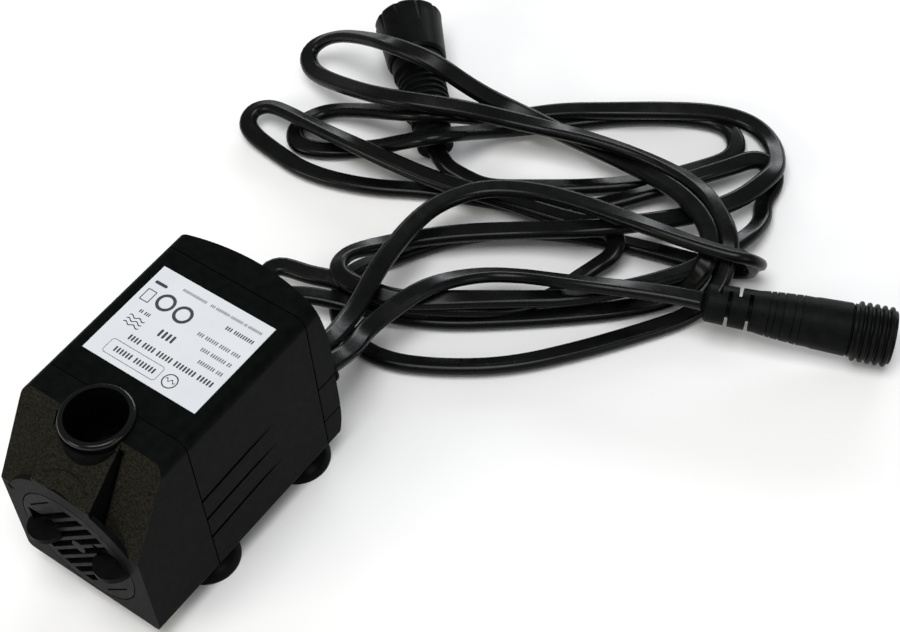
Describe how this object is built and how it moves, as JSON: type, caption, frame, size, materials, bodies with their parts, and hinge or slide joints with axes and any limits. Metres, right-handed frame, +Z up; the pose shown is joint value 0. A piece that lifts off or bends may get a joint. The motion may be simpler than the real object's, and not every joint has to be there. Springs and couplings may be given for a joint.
{
  "type": "submersible fountain pump",
  "caption": "Small low-voltage submersible fountain pump with a turning intake dial, top outlet, suction-cup feet and two flat leads ending in a screw plug and a swivel-nut socket.",
  "frame": {"origin": "on the floor under the middle of the pump body, at the level of the suction cups' rims", "axes": "+Z up through the outlet, -Y towards the intake dial, +Y towards the rear cover and the leads, +X to the right seen from the intake"},
  "size_m": [0.1945, 0.2195, 0.0567],
  "materials": {
    "housing_plastic": "fine moulded texture",
    "dial_plastic": "satin moulded",
    "soft_rubber": "matt",
    "cup_rubber": "glossy soft rubber",
    "well_plastic": "satin",
    "ceramic": "polished",
    "magnet": "ground",
    "impeller_plastic": "satin",
    "core_steel": "laminated, varnished",
    "bobbin_plastic": "satin",
    "copper_wire": "enamelled",
    "potting": "cast resin",
    "label_film": "printed film",
    "plug_rubber": "satin overmould",
    "plug_plastic": "moulded",
    "contact_brass": "bright",
    "cord_sheath": "semi-gloss PVC"
  },
  "bodies": {
    "pump": {"motor_housing": "housing_plastic", "rear_cover": "housing_plastic", "front_cover": "housing_plastic", "pump_chamber": "housing_plastic", "chamber_gasket": "soft_rubber", "front_bush": "soft_rubber", "rear_bush": "soft_rubber", "cable_gland": "soft_rubber", "plug_2_seal": "soft_rubber", "suction_cup_front_left": "cup_rubber", "suction_cup_front_right": "cup_rubber", "suction_cup_rear_left": "cup_rubber", "suction_cup_rear_right": "cup_rubber", "rotor_well": "well_plastic", "rotor_shaft": "ceramic", "stator_core": "core_steel", "coil_bobbin_left": "bobbin_plastic", "coil_winding_left": "copper_wire", "coil_bobbin_right": "bobbin_plastic", "coil_winding_right": "copper_wire", "potting_resin": "potting", "rating_label": "label_film", "plug_1_boot": "plug_rubber", "plug_2_boot": "plug_rubber", "plug_1_thread": "plug_plastic", "plug_2_insert": "plug_plastic", "plug_1_socket_a": "contact_brass", "plug_1_socket_b": "contact_brass", "plug_2_pin_a": "contact_brass", "plug_2_pin_b": "contact_brass", "cord_a": "cord_sheath", "cord_b": "cord_sheath"},
    "dial": {"flow_dial": "dial_plastic"},
    "rotor": {"rotor_magnet": "magnet", "impeller": "impeller_plastic"},
    "swivel_nut": {"plug_2_nut": "plug_plastic"}
  },
  "joints": [
    {"name": "dial_turn", "type": "hinge", "parent": "pump", "child": "dial", "pos_m": [0, -0.03275, 0.0235], "axis": [0, -1, 0], "range_deg": [-60, 60]},
    {"name": "rotor_spin", "type": "hinge", "parent": "pump", "child": "rotor", "pos_m": [0, -0.01, 0.0235], "axis": [0, -1, 0], "continuous": true},
    {"name": "nut_spin", "type": "hinge", "parent": "pump", "child": "swivel_nut", "pos_m": [-0.017, 0.1235, 0.0055], "axis": [-0.7194, 0.6878, 0.0968], "continuous": true}
  ]
}
